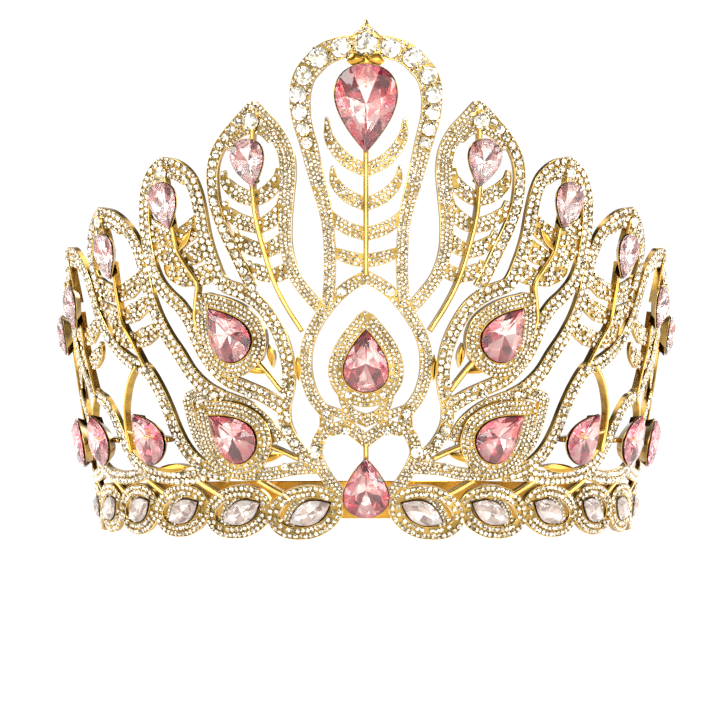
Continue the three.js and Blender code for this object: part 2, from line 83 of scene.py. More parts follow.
# Places are (azimuth in degrees, height in percent). Rows are (stone setting, widths, places).
RIBBONS = [
    ("fine", [TOP_RIBBON, TOP_RIBBON, RIBBON_BROAD, TOP_RIBBON_FOOT, TOP_RIBBON_FOOT],
     [(-0.6, 95.1), (3.4, 94.8), (5.9, 93.7), (7.6, 91.9), (9.1, 89.6), (9.8, 86.6), (9.8, 82.5),
      (9.3, 79.5), (8.8, 77), (8.1, 73), (7.3, 68.8), (6.5, 65), (6, 61), (5.8, 56), (5.9, 51),
      (6.4, 46)]),
    ("fine", [RIBBON],
     [(-0.8, 51.9), (3, 49.4), (5.9, 46.1), (8.7, 41.4), (10, 37.5), (10.2, 32.7), (9.2, 28.5),
      (7, 25)]),
    ("fine", [RIBBON], [(7, 25), (6.2, 21.8), (3.7, 22.4), (1.6, 21), (-0.6, 19)]),
    ("fine", [RIBBON],
     [(7, 25), (7.2, 22), (8.5, 19.3), (8.9, 16.8), (8.1, 14.3), (6.5, 11.5), (4.6, 9)]),
    ("fine", [RIBBON_SLIM, RIBBON], [(4.4, 31.5), (3.9, 28), (2.6, 25), (-0.4, 23.4)]),
    ("fine", [RIBBON_SLIM], [(7.4, 26), (4.8, 25), (2.4, 24), (-0.6, 23.8)]),
    ("bold", [RIBBON],
     [FIRST_TIP, (19.6, 81.7), (21.9, 79), (23.7, 76.2), (24.7, 73), (24.9, 69), (24.6, 65.5),
      (23.4, 61), (21.7, 56.5), (20.4, 53), (19, 49.6)]),
    ("fine", [RIBBON_BROAD, RIBBON_BROAD, RIBBON, RIBBON],
     [FIRST_TIP, (15.5, 81.6), (13.6, 78.8), (12.4, 75.6), (12.1, 72), (12.5, 67), (12.9, 61.5),
      (12.7, 56), (11.5, 51.5), (9.6, 48.3), (7.6, 45.5)]),
    ("medium", [RIBBON_DOUBLE],
     [SECOND_TIP, (36.5, 73.2), (38.2, 70), (39.1, 66), (39.3, 60.5), (38.7, 55), (37.5, 51.6),
      (35.4, 48.8), (33.4, 46.8), (31.4, 43.4), (30.3, 39.8), (28.2, 35.6), (25, 32), (21.5, 30.2),
      (18, 28.5), (14.4, 26)]),
    ("medium", [RIBBON_DOUBLE, RIBBON_DOUBLE, RIBBON],
     [SECOND_TIP, (31.3, 74), (29.2, 71.8), (28.2, 69), (27.6, 65), (27.1, 60), (26, 55),
      (24.3, 50.6), (21.2, 49), (18, 46.6), (15.6, 42.8), (14, 38.4), (13.3, 33.5), (13.6, 29.5),
      (14.4, 26), (14.2, 22.5), (12.6, 19), (10.6, 16.6), (8.6, 15)]),
    ("bold", [RIBBON], [THIRD_TIP, (54, 64.8), (55.8, 62), (56.4, 59), (56.1, 55.5), (55.2, 52)]),
    ("medium", [RIBBON_DOUBLE],
     [THIRD_TIP, (47.4, 66), (44.6, 63.8), (42.5, 60.8), (41.3, 57), (40.6, 53), (40.1, 49.5),
      (38.8, 45), (36.8, 40.8), (34.4, 37), (32.2, 33.2), (29, 30), (26.2, 28.4)]),
    ("fine", [RIBBON],
     [(33.6, 28.2), (30.6, 29.2), (27.4, 28.8), (24.3, 27.8), (20.6, 26), (17.6, 23.2),
      (15.6, 19.6)]),
    ("fine", [RIBBON],
     [(33.6, 28.2), (33.2, 25.4), (32.6, 22.4), (31.4, 19.2), (29.4, 16.4), (27, 14)]),
    ("fine", [RIBBON],
     [(30.5, 15.6), (27, 13.8), (22.5, 13), (17.6, 13.1), (13.5, 14), (8.4, 14.4)]),
    ("bold", [RIBBON], [FOURTH_TIP, (70, 59.2), (72, 56.4), (73, 52.8), (73, 49), (72.2, 45)]),
    ("medium", [RIBBON_DOUBLE],
     [FOURTH_TIP, (63.7, 60.2), (60.9, 57.6), (59, 54), (57.7, 50), (56.4, 46), (53.6, 41.6),
      (50.4, 38.2), (46.6, 35.8), (43.2, 34.4), (40.6, 30.6), (38.6, 26), (37.2, 22), (35.4, 18.4),
      (33, 15.6), (29.6, 13.6), (26, 12.8)]),
    ("medium", [RIBBON_DOUBLE],
     [FIFTH_TIP, (86.2, 54), (88.2, 51), (89.2, 47), (89.4, 40), (89, 31), (88.2, 22), (87, 12)]),
    ("medium", [RIBBON_DOUBLE],
     [FIFTH_TIP, (80, 54.4), (77.4, 51.6), (75.6, 48), (74.2, 44), (72.4, 39.6), (69.4, 35.2),
      (65.6, 31.6), (62, 29.4), (58.6, 28), (56, 25), (54, 21.5), (52.2, 18.2), (49.6, 15.4),
      (46.4, 13.4), (41.4, 12.4), (35.4, 12.2), (31, 13)]),
    ("medium", [RIBBON_DOUBLE],
     [(82.6, 31.6), (79, 29.4), (75.6, 28), (73, 25), (71, 21.5), (69.2, 18.2), (66.6, 15.4),
      (62, 13), (57.4, 12.2), (52.4, 12.2), (47, 13.2)]),
    ("medium", [RIBBON_DOUBLE],
     [(87.4, 16), (83.6, 14), (79, 12.6), (74, 12.2), (69, 12.8), (64, 14)]),
    ("fine", [RIBBON], [(14.4, 78.2), (16, 80), (18.2, 80.4), (20.4, 79.3), (22.4, 77.2)]),
    ("medium", [RIBBON], [(30, 71.6), (32, 73), (34.2, 73.3), (36.4, 72.4), (38, 70.6)]),
    ("medium", [RIBBON], [(45.6, 63.4), (47.6, 64.8), (50, 65.2), (52.4, 64.4), (54.6, 62.6)]),
    ("medium", [RIBBON], [(62.2, 57.6), (64.2, 58.8), (66.4, 59.2), (68.6, 58.4), (70.8, 56.8)]),
    ("medium", [RIBBON], [(78.6, 51.8), (80.6, 53), (82.8, 53.4), (85, 52.8), (87, 51.2)]),
]


def on_wall(x, y, z):
    """A point of the flat drawing (along the rim, up, outwards) bent on to the wall, in metres."""
    turn = x / RIM_RADIUS
    radius = RIM_RADIUS + FLARE * y + z / SLANT
    height = y - z * FLARE / SLANT
    return Vector((math.sin(turn) * radius, AXIS_Y - math.cos(turn) * radius, height)) / 1000


def spread(y):
    """How much wider the wall is at this height than at the rim."""
    return (RIM_RADIUS + FLARE * y) / RIM_RADIUS


def flat(place, side=1):
    return Vector((side * math.radians(place[0]) * RIM_RADIUS, place[1] / 100 * CROWN_HEIGHT))


def smooth(points, closed=False):
    """A close-set line along the centripetal spline through the points."""
    if closed:
        ring = [points[-1], *points, points[0], points[1]]
    else:
        ring = [2 * points[0] - points[1], *points, 2 * points[-1] - points[-2]]
    line = []
    for a, b, c, d in zip(ring, ring[1:], ring[2:], ring[3:]):
        before, between, after = (math.sqrt((q - p).length) for p, q in ((a, b), (b, c), (c, d)))
        leave = ((b - a) / before - (c - a) / (before + between) + (c - b) / between) * between
        arrive = ((c - b) / between - (d - b) / (between + after) + (d - c) / after) * between
        for i in range(SPLINE_STEPS):
            t = i / SPLINE_STEPS
            bend = 3 * (c - b) - 2 * leave - arrive
            line.append(b + leave * t + bend * t ** 2 + (2 * (b - c) + leave + arrive) * t ** 3)
    line.append(points[0] if closed else points[-1])
    return line


def track(points, spacing, closed=False):
    """Even steps along the spline: (point, direction, share of the length)."""
    line = smooth(points, closed)
    reach = [0.0]
    for p, q in zip(line, line[1:]):
        reach.append(reach[-1] + (q - p).length)
    count = max(2, round(reach[-1] / spacing))
    steps, at = [], 0
    for i in range(count if closed else count + 1):
        goal = reach[-1] * i / count
        while at < len(line) - 2 and reach[at + 1] < goal:
            at += 1
        p, q = line[at], line[at + 1]
        share = (goal - reach[at]) / max(reach[at + 1] - reach[at], 1e-9)
        steps.append((p.lerp(q, share), (q - p).normalized(), i / count))
    return steps


def aside(point, direction, distance):
    """The spot at a distance to the left of a route, square to it on the bent wall."""
    wide = spread(point.y)
    run = math.hypot(direction.x * wide, direction.y)
    return Vector((point.x - direction.y / run * distance / wide,
                   point.y + direction.x * wide / run * distance))


def width_along(widths, share):
    if len(widths) == 1:
        return widths[0]
    place = share * (len(widths) - 1)
    before = min(int(place), len(widths) - 2)
    return widths[before] + (widths[before + 1] - widths[before]) * (place - before)


def verts_of(geom):
    return [g for g in geom if isinstance(g, bmesh.types.BMVert)]


def shape_front(bm, faces, profile):
    """Steps a front in and out. Each step's own strip, and the last bed, take its copy of the gold,
    with the light and shade painted in it.
    """
    for inwards, outwards, finish_and_painted_light in profile:
        strips = bmesh.ops.inset_region(bm, faces=faces, thickness=inwards,
                                        use_even_offset=True)["faces"]
        for face in [*strips, *faces]:
            face.material_index = finish_and_painted_light
        verts = list({v for f in faces for v in f.verts})
        bmesh.ops.translate(bm, verts=verts, vec=(0, 0, outwards))


def thicken(bm, back, front):
    """Extrudes the flat faces from the back to the front and returns the front faces."""
    made = bmesh.ops.extrude_face_region(bm, geom=bm.faces[:])["geom"]
    bmesh.ops.translate(bm, verts=verts_of(made), vec=(0, 0, front - back))
    bmesh.ops.recalc_face_normals(bm, faces=bm.faces[:])
    return [g for g in made if isinstance(g, bmesh.types.BMFace)]


def shade_walls(bm):
    """Gives the faces that stand on edge the shaded copy of the gold: painted shade on the walls.
    """
    for face in bm.faces:
        if abs(face.normal.z) < 0.5:
            face.material_index = SHADED


def cast_band(steps, widths, profile, front, closed=False):
    """A ribbon: its first edge is extruded from step to step, then thickened and shaped."""
    bm = bmesh.new()
    edge = None
    for point, direction, share in steps:
        half = width_along(widths, share) / 2
        spots = [(*aside(point, direction, way * half), -THICKNESS) for way in (1, -1)]
        if edge is None:
            edge = bm.edges.new([bm.verts.new(spot) for spot in spots])
            left, right = first_left, first_right = edge.verts
            continue
        made = verts_of(bmesh.ops.extrude_edge_only(bm, edges=[edge])["geom"])
        left, right = sorted(made, key=lambda v: (v.co - left.co).length)
        left.co, right.co = spots
        edge = bm.edges.get((left, right))
    if closed:
        bm.faces.new((left, right, first_right, first_left))
    rise = sum(outwards for _, outwards, _ in profile if outwards > 0)
    faces = thicken(bm, -THICKNESS, front - rise)
    shade_walls(bm)
    shape_front(bm, faces, profile)
    return bm


def join(parts):
    """Several bmeshes as one."""
    whole = bmesh.new()
    for part in parts:
        mesh = bpy.data.meshes.new("part")
        part.to_mesh(mesh)
        whole.from_mesh(mesh)
        bpy.data.meshes.remove(mesh)
        part.free()
    return whole


def add_piece(name, bm, finishes_and_painted_light, replaced=()):
    """Puts a finished bmesh into the scene as a piece of the crown; cast metal is shaded round."""
    mesh = bpy.data.meshes.new(name)
    bm.to_mesh(mesh)
    bm.free()
    if finishes_and_painted_light is golds:
        mesh.shade_smooth()
        mesh.set_sharp_from_angle(angle=SHARP_EDGE)
    for finish_and_painted_light in finishes_and_painted_light:
        mesh.materials.append(finish_and_painted_light)
    piece = bpy.data.objects.new(name, mesh)
    bpy.context.scene.collection.objects.link(piece)
    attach(piece, "root")
    if replaced:
        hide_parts(*replaced)


def bend_to_wall(bm):
    for vert in bm.verts:
        vert.co = on_wall(*vert.co)
    bmesh.ops.recalc_face_normals(bm, faces=bm.faces[:])
    return bm


class Value:
    """A socket's number, with the arithmetic that the materials use."""

    def __init__(self, graph, socket):
        self.graph, self.socket = graph, socket

    def math(self, operation, *others, clamp=False):
        settings = {"operation": operation, "use_clamp": clamp}
        return self.graph.add("ShaderNodeMath", settings, dict(enumerate(others)))

    def __add__(self, other):
        return self.math("ADD", self, other)

    def __sub__(self, other):
        return self.math("SUBTRACT", self, other)

    def __rsub__(self, other):
        return self.math("SUBTRACT", other, self)

    def __mul__(self, other):
        return self.math("MULTIPLY", self, other)

    __radd__ = __add__
    __rmul__ = __mul__


class Graph:
    """The nodes of one material or world."""

    def __init__(self, owner):
        owner.use_nodes = True
        self.tree = owner.node_tree
        self.tree.nodes.clear()

    def add(self, kind, settings=None, inputs=None, output=0):
        node = self.tree.nodes.new(kind)
        for key, value in (settings or {}).items():
            if key == "stops":
                ramp = node.color_ramp
                while len(ramp.elements) < len(value):
                    ramp.elements.new(0.5)
                for element, (position, colour) in zip(ramp.elements, value):
                    element.position = position
                    element.color = (*colour, 1)
            else:
                setattr(node, key, value)
        for key, value in (inputs or {}).items():
            socket = node.inputs[key]
            if isinstance(value, Value):
                self.tree.links.new(value.socket, socket)
            elif socket.type == "RGBA" and len(value) == 3:
                socket.default_value = (*value, 1)
            else:
                socket.default_value = value
        return Value(self, node.outputs[output]) if node.outputs else None

    def mix(self, factor, first, second):
        """Two colours mixed by a factor."""
        return self.add("ShaderNodeMix", {"data_type": "RGBA"}, {0: factor, 6: first, 7: second}, 2)

    def noise(self, scale, detail=2.0, roughness=0.5):
        """Noise on the crown's own coordinates, with its features 1/scale metres apart."""
        place = self.add("ShaderNodeTexCoord", output=3)
        sizes = {"Vector": place, "Scale": scale, "Detail": detail, "Roughness": roughness}
        return self.add("ShaderNodeTexNoise", None, sizes)

    def facets(self, scale, tilt):
        """Flat patches 1/scale metres across: each one's random colour and the way it faces."""
        place = self.add("ShaderNodeTexCoord", output=3)
        cell = self.add("ShaderNodeTexVoronoi", None, {"Vector": place, "Scale": scale}, 1)
        straight = self.add("ShaderNodeNewGeometry", output=1)
        turned = self.add("ShaderNodeVectorMath", {"operation": "MULTIPLY_ADD"},
                          {0: cell, 1: (2 * tilt,) * 3, 2: (-tilt,) * 3})
        tipped = self.add("ShaderNodeVectorMath", {"operation": "ADD"}, {0: straight, 1: turned})
        return cell, self.add("ShaderNodeVectorMath", {"operation": "NORMALIZE"}, {0: tipped})

    def ramp(self, value, stops):
        return self.add("ShaderNodeValToRGB", {"stops": stops}, {0: value})

    def surface(self, **inputs):
        """The Principled shader, wired to the output."""
        names = {key.replace("_", " "): value for key, value in inputs.items()}
        shader = self.add("ShaderNodeBsdfPrincipled", None, names)
        self.add("ShaderNodeOutputMaterial", None, {"Surface": shader})


def gilt(name, deep, bright, rough, polish=0.75):
    """Gilt metal: its colour drifts between two golds in patches, over a very fine cast grain."""
    finish_and_painted_light = bpy.data.materials.new(name)
    graph = Graph(finish_and_painted_light)
    drift = graph.noise(160, 2.0)
    grain = graph.noise(2600, 3.0, 0.6)
    colour = graph.mix(graph.ramp(drift * polish + grain * (1 - polish),
                                  [(0.28, (0, 0, 0)), (0.72, (1, 1, 1))]), deep, bright)
    bump = graph.add("ShaderNodeBump", None,
                     {"Strength": 0.1, "Distance": 0.00004, "Height": grain})
    graph.surface(Base_Color=colour, Metallic=1.0, Roughness=drift * 0.16 + rough, Normal=bump)
    return finish_and_painted_light


# The same gilt metal five times over: bright as it is lit, dark, shaded and shadow copies that are
# painted shade, and amber, which the back band takes alone and the wires take as a painted
# half-tone.
bright_gilt = gilt("bright_gilt", (0.60, 0.37, 0.08), (0.93, 0.68, 0.24), 0.12)
dark_gilt = gilt("dark_gilt", (0.10, 0.055, 0.012), (0.64, 0.43, 0.12), 0.26)
shaded_gilt = gilt("shaded_gilt", (0.05, 0.026, 0.008), (0.52, 0.32, 0.08), 0.12)
amber_gilt = gilt("amber_gilt", (0.36, 0.19, 0.028), (0.52, 0.29, 0.05), 0.12, 0.9)
shadow_gilt = gilt("shadow_gilt", (0.03, 0.014, 0.005), (0.14, 0.08, 0.02), 0.3)
golds = [bright_gilt, dark_gilt, shaded_gilt, amber_gilt, shadow_gilt]

ribbon_parts = []
for _, widths, places in RIBBONS:
    for side in (1, -1):
        steps = track([flat(place, side) for place in places], RIBBON_STEP)
        level = LEVEL_STEP * (len(ribbon_parts) % LEVELS) + LOWEST_LEVEL
        ribbon_parts.append(cast_band(steps, widths, LIPPED, front=level))
add_piece("wall_ribbons", bend_to_wall(join(ribbon_parts)), golds,
          ["gold_frame"])


# The plain wires: gilt wire with a ridged front for the spine of each feather, the stems of the
# ovals, the ribs that arch over the drops and the short ties that hold the cups. It is soldered
# on so that it stands a little in front of the ribbons.
WIRE = 1.2
WIRE_PROUD = 0.6
WIRE_STEP = 1.2
# Steps over a wire's front, as for the ribbons. The edge strip takes the shaded copy of the gold as
# painted shade, the ridge amber as a painted half-tone and the top the bright copy as a painted
# highlight.
RIDGED = [(0.17, 0.02, SHADED), (0.14, 0.26, AMBER), (0.12, 0.06, BRIGHT)]
WIRES = [
    [(0, 78), (0, 68), (0, 60), (0, 51.5)],
    [(18, 72), (17.7, 63.7), (16.8, 57.9), (15, 50.5), (13.3, 46.2), (10.6, 41)],
    [(33.4, 65), (32.6, 58), (31.1, 54.7), (29.2, 51), (29.7, 47.5), (30.2, 43.4), (29, 40.4),
     (26.6, 36.4)],
    [(48.8, 57), (48.7, 50), (48, 44), (45.8, 40.2), (43, 35)],
    [(65.3, 48), (65.2, 40), (64, 35), (62.6, 30)],
    [(81.8, 43.6), (81.6, 36), (80.8, 30)],
    [(45.4, 35.4), (48.1, 32.5), (49.8, 29.4), (51, 26), (51.2, 22), (50.6, 17.4)],
    [(62.6, 29.6), (65.4, 27), (67, 23.6), (67.6, 20), (67.2, 16)],
    [(79.4, 29.6), (82.2, 27), (83.8, 23.6), (84.4, 20), (84, 15)],
    [(0, 19.4), (0, 16)],
    [(19.9, 36.8), (17, 33), (14.6, 29.4)],
    [(18.2, 19), (15, 17.6), (11.9, 16)],
    [(27.3, 29), (27.3, 26)],
    [(0, 87), (0, 94.4)],
    [(17.8, 74), (17.2, 83)],
    [(33.5, 67), (33.8, 74)],
    [(49, 59), (50.4, 66.2)],
    [(65.6, 50), (67.2, 60)],
    [(82.2, 45), (83.6, 54.4)],
    [(38.6, 20), (51, 22)],
    [(54.6, 20), (67.4, 21)],
    [(71.4, 20), (84.2, 21)],
]

wire_parts = []
for places in WIRES:
    for side in (1, -1) if places[0][0] else (1,):
        steps = track([flat(place, side) for place in places], WIRE_STEP)
        wire_parts.append(cast_band(steps, [WIRE], RIDGED, front=WIRE_PROUD))
add_piece("spines_and_ties", bend_to_wall(join(wire_parts)), golds)


# The barbs of the feathers: short tapering ribbons that curl up in pairs from each spine, cast
# like the ribbons of the wall and set with small stones.
BARB_LEVEL = -0.38
BARB_LEVEL_STEP = 0.01
BARB_LEVELS = 4
BARB_STEP = 0.8
# A barb's route, in shares of its reach and of its rise.
BARB_CURVE = [(0.54, 0.22), (0.94, 0.62), (1, 1)]
# Widths along a barb, from its root to its tip.
CENTRE_BARB = [3.2, 3.2, 2.6, 0.9]
SIDE_BARB = [3.4, 3.7, 3.1, 1.2]
OUTER_BARB = [3.8, 4.8, 3.9, 1.0]
# Rows are (place on the spine, reach away from the middle, reach towards it, rise) in millimetres.
CENTRE_BARBS = [
    ((0, 71.6), 9, 9, 12), ((0, 65.2), 7.8, 7.8, 8.6), ((0, 59.5), 8.8, 8.8, 7.2),
    ((0, 54.4), 8.4, 8.4, 4.2),
]
SIDE_BARBS = [
    ((17.9, 66.6), 7.6, 6.4, 7.2), ((17.4, 61.4), 8.4, 5.8, 6.4), ((16.6, 56.6), 6.8, 4.9, 5),
    ((15.3, 51.8), 6, 4.6, 3.8),
]
OUTER_BARBS = [
    ((33, 60), 8.2, 7.6, 7), ((31.7, 55.8), 9, 7, 6), ((29.6, 52), 9, 5.6, 4),
    ((48.8, 50), 9.6, 11, 7), ((48.2, 45.4), 10.4, 11.2, 6), ((45.8, 40.4), 8.3, 10, 5),
    ((65.3, 42), 9.6, 11, 6), ((64.4, 36.8), 7.6, 9.5, 5), ((81.8, 38.4), 9.4, 10.6, 5),
    ((81.2, 33.4), 9.2, 9.5, 5),
]


def barb_steps(place, reach, rise, side, outwards):
    root = flat(place, side)
    points = [root + Vector((out * outwards * reach / spread(root.y), up * rise))
              for out, up in BARB_CURVE]
    return track([root, *points], BARB_STEP)


barbs = []
for rows, sides, widths in ((CENTRE_BARBS, (1,), CENTRE_BARB), (SIDE_BARBS, (1, -1), SIDE_BARB),
                            (OUTER_BARBS, (1, -1), OUTER_BARB)):
    barbs += [(barb_steps(place, reach, rise, side, outwards * side), widths)
              for place, away, towards, rise in rows for side in sides
              for outwards, reach in ((1, away), (-1, towards))]
barb_parts = [cast_band(steps, widths, LIPPED, BARB_LEVEL + BARB_LEVEL_STEP * (i % BARB_LEVELS))
              for i, (steps, widths) in enumerate(barbs)]
add_piece("barbs", bend_to_wall(join(barb_parts)), golds)


# The garland at the foot: six tilted oval rings on each half, each lapping over the next, with
# a plain strap slanting down between them, and behind them a plain band of sheet that closes
# the crown round the back of the head.
RING_COUNT = 6
RING_PITCH = 13.3
FIRST_RING = 11.4
RING_TILT = 13
RING_HEIGHT = 12.8
RING_OVERLAP = 1.9
RING_LENGTH = math.radians(RING_PITCH) * RIM_RADIUS + RING_OVERLAP
RING_MIDDLE = math.hypot(RING_LENGTH / 2 * math.sin(math.radians(RING_TILT)),
                         RING_HEIGHT / 2 * math.cos(math.radians(RING_TILT)))
RING_POINTS = 24
RING_LIFT = 0.15
RING_PROUD = 0.12
STRAP = 1.5
STRAP_PROUD = 0.2
# A strap's route, in shares of the rings' pitch and of their height.
STRAP_ROUTE = [(0.66, 1.12), (0.44, 0.95), (0.2, 0.78)]
BAND_HEIGHT = 12.3
BAND_WALL = 1.2
BAND_EDGE = 0.3
BAND_STEPS = 96


def ring_points(index, side):
    middle = flat((FIRST_RING + RING_PITCH * index, 0), side)
    points = []
    for i in range(RING_POINTS):
        turn = i / RING_POINTS * math.tau
        point = Vector((math.cos(turn) * (RING_LENGTH - RIBBON) / 2,
                        math.sin(turn) * (RING_HEIGHT - RIBBON) / 2))
        point.rotate(Matrix.Rotation(-math.radians(RING_TILT) * side, 2))
        height = max(RING_MIDDLE + point.y, RIBBON / 2 + RING_LIFT)
        points.append(Vector((middle.x + point.x, height)))
    return points


rings = [(track(ring_points(i, side), RIBBON_STEP, True), 0.0 if i % 2 else RING_PROUD)
         for i in range(RING_COUNT) for side in (1, -1)]
garland_parts = [cast_band(steps, [RIBBON], LIPPED, front=level, closed=True)
                 for steps, level in rings]
for i in range(RING_COUNT):
    azimuth = FIRST_RING + RING_PITCH * i
    for side in (1, -1):
        places = [(azimuth + RING_PITCH * out, share * RING_HEIGHT / CROWN_HEIGHT * 100)
                  for out, share in STRAP_ROUTE]
        steps = track([flat(place, side) for place in places], WIRE_STEP)
        garland_parts.append(cast_band(steps, [STRAP], RIDGED, front=STRAP_PROUD))
add_piece("garland", bend_to_wall(join(garland_parts)), golds)

band = bmesh.new()
band_outer = RIM_RADIUS - BAND_SET_BACK
past_side = math.radians(90 - (FIRST_RING + RING_PITCH * (RING_COUNT - 1)))
corners = [(band_outer, 0), (band_outer, BAND_HEIGHT), (band_outer - BAND_WALL, BAND_HEIGHT),
           (band_outer - BAND_WALL, 0)]
strip = band.faces.new([
    band.verts.new(Vector((r * math.cos(-past_side), r * math.sin(-past_side), z)) / 1000)
    for r, z in corners])
bmesh.ops.spin(band, geom=[strip, *strip.edges, *strip.verts], cent=(0, 0, 0), axis=(0, 0, 1),
               angle=math.pi + 2 * past_side, steps=BAND_STEPS)
bmesh.ops.recalc_face_normals(band, faces=band.faces[:])
long_edges = [e for e in band.edges if abs((e.verts[0].co - e.verts[1].co).z) < 1e-6
              and len(e.link_faces) == 2 and e.calc_face_angle(0) > 1.2
              and abs(e.verts[0].co.xy.length - e.verts[1].co.xy.length) < 1e-6]
bmesh.ops.bevel(band, geom=long_edges, offset=BAND_EDGE / 1000, offset_type="OFFSET", segments=2,
                profile=0.5, affect="EDGES", material=-1)
bmesh.ops.translate(band, verts=band.verts[:], vec=(0, AXIS_Y / 1000, 0))
add_piece("back_band", band, [amber_gilt])


# The large stones: foiled glass pears and marquises. Each has a flat table, two rows of crown
# facets, a thin girdle and a mirrored pavilion underneath, and is glued into its own cup.
# A stone's crown and pavilion are heights; proud is how far its girdle stands out from the wall.
Stone = namedtuple("Stone", "width height crown pavilion proud")
CENTRE_EYE = Stone(13.8, 19.6, 2.2, 3.0, 2.4)
FEATHER_EYE = Stone(7.8, 10.8, 1.4, 1.8, 2.4)
HALO_PEAR = Stone(10.2, 14.2, 1.8, 2.2, 1.2)
DROP_PEAR = Stone(10.2, 13.6, 1.8, 2.2, 2.4)
MARQUISE = Stone(5.4, 10.8, 1.1, 1.4, 0.6)
STONE_GAP = 0.14
# Rows are (name, size, place, lean of the point outwards from upright, in degrees).
CENTRE_STONES = [
    ("centre_eye", CENTRE_EYE, (0, 83.4), 180), ("centre_pear", HALO_PEAR, (0, 35.2), 0),
    ("bottom_drop", DROP_PEAR, (0, 10.6), 0),
]
SIDE_STONES = [
    ("feather_eye_1", FEATHER_EYE, (17.9, 73.6), 190),
    ("feather_eye_2", FEATHER_EYE, (33.4, 66.7), 190),
    ("feather_eye_3", FEATHER_EYE, (48.8, 58.2), 190),
    ("feather_eye_4", FEATHER_EYE, (65.3, 49.2), 190),
    ("feather_eye_5", FEATHER_EYE, (81.8, 44.6), 190),
    ("upper_oval", HALO_PEAR, (24, 41), 35), ("lower_oval", HALO_PEAR, (24.6, 20.8), 49),
    ("side_drop_1", DROP_PEAR, (43.2, 20.8), 36), ("side_drop_2", DROP_PEAR, (60.6, 20.6), 30),
    ("side_drop_3", DROP_PEAR, (77.6, 20.2), 26),
]
SIDE_STONES += [
    (f"marquise_{i + 1}", MARQUISE,
     (FIRST_RING + RING_PITCH * i - 1.1, RING_MIDDLE / CROWN_HEIGHT * 100), -65)
    for i in range(RING_COUNT)
]
large_stones = [(*row, 1) for row in CENTRE_STONES]
for side, word in ((1, "right"), (-1, "left")):
    large_stones += [(f"{name}_{word}", size, place, lean, side)
                     for name, size, place, lean in SIDE_STONES]
# The tops of a stone's facets, in turn from its point: (share of its width, share of its crown).
TABLE_CORNER = (0.56, 1.0)
STAR_CORNER = (0.82, 0.58)
# Materials after the table's own, and the pavilion's foils in turn round the stone. The three foils
# are lit, half-lit and shaded copies of one foil: painted light and shade on the pavilion's facets.
FACET, PALE_FOIL, MID_FOIL, DARK_FOIL = range(1, 5)
FOILS = [PALE_FOIL, MID_FOIL, DARK_FOIL, PALE_FOIL, PALE_FOIL, DARK_FOIL, MID_FOIL, PALE_FOIL,
         PALE_FOIL, DARK_FOIL, PALE_FOIL, MID_FOIL, DARK_FOIL, PALE_FOIL, PALE_FOIL, MID_FOIL,
         PALE_FOIL]
PEAR_BREADTH = 0.7698  # the most that sin(t) * sin(t / 2) comes to


def outline(size, count, grown=0.0):
    """A stone's outline with its point upwards, moved outwards by a distance."""
    if size.width == size.height:
        return [Vector((0, size.width / 2)) @ Matrix.Rotation(i / count * math.tau, 2)
                for i in range(count)]
    points = []
    for i in range(count):
        turn = i / count * math.tau
        if size is MARQUISE:
            x = math.sin(turn) * abs(math.sin(turn)) * size.width / 2
        else:
            x = math.sin(turn) * math.sin(turn / 2) * size.width / 2 / PEAR_BREADTH
        points.append(Vector((-x, math.cos(turn) * size.height / 2)))
    moved = []
    for before, point, after in zip(points[-1:] + points, points, points[1:] + points[:1]):
        into, away = (point - before).normalized(), (after - point).normalized()
        mitre = Vector((into.y + away.y, -into.x - away.x)).normalized()
        even = mitre.x * into.y - mitre.y * into.x
        moved.append(point + mitre * grown / max(0.4, even))
    return moved


def drawn(points, place, lean, side):
    """An outline laid on the flat drawing of the wall, turned to its lean."""
    middle = flat(place, side)
    turn = Matrix.Rotation(-math.radians(lean) * side, 2)
    turned = [turn @ point for point in points]
    return [Vector((middle.x + p.x / spread(middle.y), middle.y + p.y / SLANT)) for p in turned]


def seat(size, place, lean, side):
    """The frame of a stone: x across it, y towards its point and z out of the wall."""
    turn = math.radians(place[0]) * side
    away = Vector((math.sin(turn), -math.cos(turn), 0))
    across = Vector((math.cos(turn), math.sin(turn), 0))
    up = (Vector((0, 0, 1)) + away * FLARE).normalized()
    out = across.cross(up)
    height = place[1] / 100 * CROWN_HEIGHT
    spot = away * (RIM_RADIUS + FLARE * height) + Vector((0, AXIS_Y, height)) + out * size.proud
    axes = Matrix((across, up, out)).transposed().to_4x4()
    lie = Matrix.Rotation(-math.radians(lean) * side, 4, "Z")
    return Matrix.Scale(0.001, 4) @ Matrix.Translation(spot) @ axes @ lie


def cut_stone(size):
    """A faceted stone as the hull of its corners. A prouder one overhangs its cup more."""
    sides = 12 if size is MARQUISE else 16
    edge = min(0.12, size.width * 0.04)
    girdle = outline(size, sides * 2, size.proud * 0.09)
    corners = [(p.x, p.y, z) for p in girdle for z in (edge, -edge)]
    for i, p in enumerate(outline(size, sides)):
        share, rise = STAR_CORNER if i % 2 else TABLE_CORNER
        corners.append((p.x * share, p.y * share, size.crown * rise))
        if i % 2:
            corners.append((p.x * 0.6, p.y * 0.6 - size.height * 0.02, -size.pavilion * 0.56))
    corners.append((0, -size.height * 0.04, -size.pavilion))
    bm = bmesh.new()
    for corner in corners:
        bm.verts.new(corner)
    made = bmesh.ops.convex_hull(bm, input=bm.verts[:])
    loose = verts_of(made["geom_interior"] + made["geom_unused"])
    bmesh.ops.delete(bm, geom=loose, context="VERTS")
    bmesh.ops.dissolve_limit(bm, angle_limit=0.02, verts=bm.verts[:], edges=bm.edges[:])
    for face in bm.faces:
        middle = face.calc_center_median()
        around = int((math.atan2(middle.y, middle.x) / math.tau + 0.5) * (len(FOILS) - 1))
        if middle.z < -edge * 0.8:
            face.material_index = FOILS[around]
        elif middle.z < size.crown * 0.5 and around % 4 != 1:
            face.material_index = FACET
    return bm


